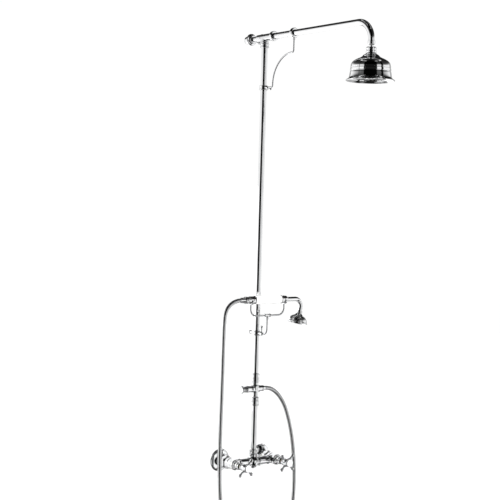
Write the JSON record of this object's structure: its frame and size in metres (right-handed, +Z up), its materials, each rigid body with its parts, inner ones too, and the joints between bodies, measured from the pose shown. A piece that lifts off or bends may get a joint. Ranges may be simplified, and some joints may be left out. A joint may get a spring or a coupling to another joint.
{
  "type": "exposed shower column",
  "caption": "Exposed wall mixer with crosshead taps, a riser with a diverter and a hand shower in a cradle, and a braced top arm with a tilting overhead rose.",
  "frame": {"origin": "on the wall plane, midway between the two water inlets, at the height of the tap spindles", "axes": "+Z up along the riser, +Y into the wall, -Y out into the room, +X along the wall to the right seen from the room"},
  "size_m": [0.3043, 0.6058, 1.5453],
  "materials": {
    "chrome": "polished",
    "brass": "machined",
    "porcelain": "glazed",
    "hose": "spiral wound, polished",
    "nylon": "satin"
  },
  "bodies": {
    "root": {"left_wall_flange": "chrome", "right_wall_flange": "chrome", "left_union_nut": "chrome", "right_union_nut": "chrome", "valve_body": "chrome", "left_bonnet": "chrome", "right_bonnet": "chrome", "riser_base_nut": "chrome", "lower_riser": "chrome", "diverter_lower_nut": "chrome", "diverter_body": "chrome", "diverter_upper_nut": "chrome", "diverter_gland_nut": "chrome", "hose_outlet_nut": "chrome", "upper_riser": "chrome", "cradle_clamp": "chrome", "cradle_stem": "chrome", "cradle_knuckle": "chrome", "cradle_fork": "chrome", "riser_top_nut": "chrome", "arm_tee": "chrome", "stay_tube": "chrome", "stay_wall_flange": "chrome", "stay_wall_anchor": "chrome", "arm_union_nut": "chrome", "arm_stub_pipe": "chrome", "arm_brace_collar": "chrome", "shower_arm": "chrome", "brace_rod": "chrome", "brace_clamp": "chrome", "rose_ball_adapter": "chrome", "left_inlet_tail": "brass", "right_inlet_tail": "brass", "left_cartridge": "brass", "right_cartridge": "brass", "shower_hose": "hose"},
    "left_tap": {"left_spindle": "brass", "left_crosshead": "chrome", "left_index_button": "porcelain"},
    "right_tap": {"right_spindle": "brass", "right_crosshead": "chrome", "right_index_button": "porcelain"},
    "diverter": {"diverter_plug": "brass", "diverter_knob": "chrome"},
    "rose_seat": {"rose_ball_seat": "nylon"},
    "rose_head": {"rose_swivel_nut": "chrome", "rose_shell": "chrome", "rose_face": "chrome"},
    "handset": {"handset_inlet_ferrule": "chrome", "handset_core_tube": "brass", "handset_grip": "porcelain", "handset_outlet_ferrule": "chrome", "handset_neck": "chrome", "handset_rose_nut": "chrome", "handset_rose_shell": "chrome", "handset_rose_face": "chrome"},
    "hose_end": {"handset_hose_nut": "chrome"},
    "stay_screw": {"stay_thumb_screw": "chrome"},
    "brace_screw": {"brace_thumb_screw": "chrome"},
    "cradle_screw": {"cradle_thumb_screw": "chrome"}
  },
  "joints": [
    {"name": "left_tap_turn", "type": "hinge", "parent": "root", "child": "left_tap", "pos_m": [-0.075, -0.065, 0], "axis": [0, -1, 0], "range_deg": [0, 90]},
    {"name": "right_tap_turn", "type": "hinge", "parent": "root", "child": "right_tap", "pos_m": [0.075, -0.065, 0], "axis": [0, -1, 0], "range_deg": [0, 90]},
    {"name": "diverter_turn", "type": "hinge", "parent": "root", "child": "diverter", "pos_m": [-0.034, -0.065, 0.212], "axis": [-1, 0, 0], "range_deg": [0, 90]},
    {"name": "rose_tilt_front", "type": "hinge", "parent": "root", "child": "rose_seat", "pos_m": [0, -0.515, 1.15], "axis": [1, 0, 0], "range_deg": [-12, 12]},
    {"name": "rose_tilt_side", "type": "hinge", "parent": "rose_seat", "child": "rose_head", "pos_m": [0, -0.515, 1.15], "axis": [0, 1, 0], "range_deg": [-12, 12]},
    {"name": "handset_lift", "type": "slide", "parent": "root", "child": "handset", "axis": [0, 0, 1], "range_m": [0, 0.06]},
    {"name": "hose_nut_turn", "type": "hinge", "parent": "handset", "child": "hose_end", "pos_m": [-0.09, -0.112, 0.474], "axis": [-1, 0, 0], "continuous": true},
    {"name": "stay_screw_turn", "type": "hinge", "parent": "root", "child": "stay_screw", "pos_m": [0, -0.009, 1.225], "axis": [0.9397, 0, -0.342], "range_deg": [0, 360]},
    {"name": "brace_screw_turn", "type": "hinge", "parent": "root", "child": "brace_screw", "pos_m": [0, -0.065, 1.081], "axis": [1, 0, 0], "range_deg": [0, 360]},
    {"name": "cradle_screw_turn", "type": "hinge", "parent": "root", "child": "cradle_screw", "pos_m": [0, -0.088, 0.374], "axis": [0, 0, 1], "range_deg": [0, 360]}
  ]
}
